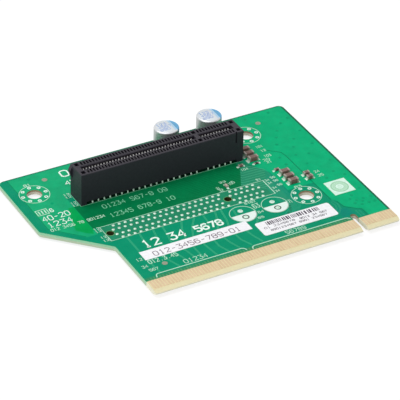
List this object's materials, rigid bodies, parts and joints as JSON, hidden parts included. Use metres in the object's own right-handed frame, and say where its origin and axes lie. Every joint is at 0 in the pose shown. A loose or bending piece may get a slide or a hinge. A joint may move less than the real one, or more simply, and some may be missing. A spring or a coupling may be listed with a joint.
{
  "type": "pcie riser card",
  "caption": "Green circuit board that plugs in by a gold card edge and carries a black card slot, can capacitors, chip capacitors, paper labels and screw holes.",
  "frame": {"origin": "centre of the key notch on the mating edge of the card, at mid-thickness of the board", "axes": "+X along the card edge towards the short group of pads, +Y away from the card edge, +Z out of the face that carries the slot"},
  "size_m": [0.1004, 0.0721, 0.0135],
  "materials": {
    "board": "green solder mask over glass-fibre laminate, satin",
    "gold_plate": "thin hard gold plate over copper, satin",
    "slot_plastic": "black glass-filled moulding, matte",
    "contact_metal": "plated copper alloy, bright",
    "solder": "bright tin solder",
    "can_aluminium": "drawn aluminium, satin, with a printed polarity mark",
    "seal_rubber": "moulded rubber, matte",
    "tinned_wire": "tinned wire, bright",
    "chip_ceramic": "fired ceramic, brown, satin",
    "resistor_ceramic": "ceramic with a dark glass coat",
    "chip_terminal": "tin-plated end cap, satin",
    "label_paper": "white coated paper with plain printed marks",
    "bare_copper": "bare copper, satin"
  },
  "bodies": {
    "root": {"capacitor_lead_joints": "solder", "chip_solder_joints": "solder", "circuit_board": "board", "clock_capacitor_1_body": "chip_ceramic", "clock_capacitor_1_terminals": "chip_terminal", "clock_capacitor_2_body": "chip_ceramic", "clock_capacitor_2_terminals": "chip_terminal", "code_label": "label_paper", "edge_pads_bottom": "gold_plate", "edge_pads_top": "gold_plate", "filter_capacitor_1_body": "chip_ceramic", "filter_capacitor_1_terminals": "chip_terminal", "filter_capacitor_2_body": "chip_ceramic", "filter_capacitor_2_terminals": "chip_terminal", "filter_capacitor_3_body": "chip_ceramic", "filter_capacitor_3_terminals": "chip_terminal", "left_capacitor_can": "can_aluminium", "left_capacitor_leads": "tinned_wire", "left_capacitor_seal": "seal_rubber", "pull_up_resistor_body": "resistor_ceramic", "pull_up_resistor_terminals": "chip_terminal", "rail_capacitor_1_body": "chip_ceramic", "rail_capacitor_1_terminals": "chip_terminal", "rail_capacitor_2_body": "chip_ceramic", "rail_capacitor_2_terminals": "chip_terminal", "rail_capacitor_3_body": "chip_ceramic", "rail_capacitor_3_terminals": "chip_terminal", "right_capacitor_can": "can_aluminium", "right_capacitor_leads": "tinned_wire", "right_capacitor_seal": "seal_rubber", "sighting_pads": "bare_copper", "slot_back_contacts": "contact_metal", "slot_capacitor_1_body": "chip_ceramic", "slot_capacitor_1_terminals": "chip_terminal", "slot_capacitor_2_body": "chip_ceramic", "slot_capacitor_2_terminals": "chip_terminal", "slot_capacitor_3_body": "chip_ceramic", "slot_capacitor_3_terminals": "chip_terminal", "slot_front_contacts": "contact_metal", "slot_housing": "slot_plastic", "slot_pin_joints": "solder", "spare_capacitor_lands": "solder", "spare_slot_solder": "solder", "square_label": "label_paper", "strip_label": "label_paper"}
  },
  "joints": []
}
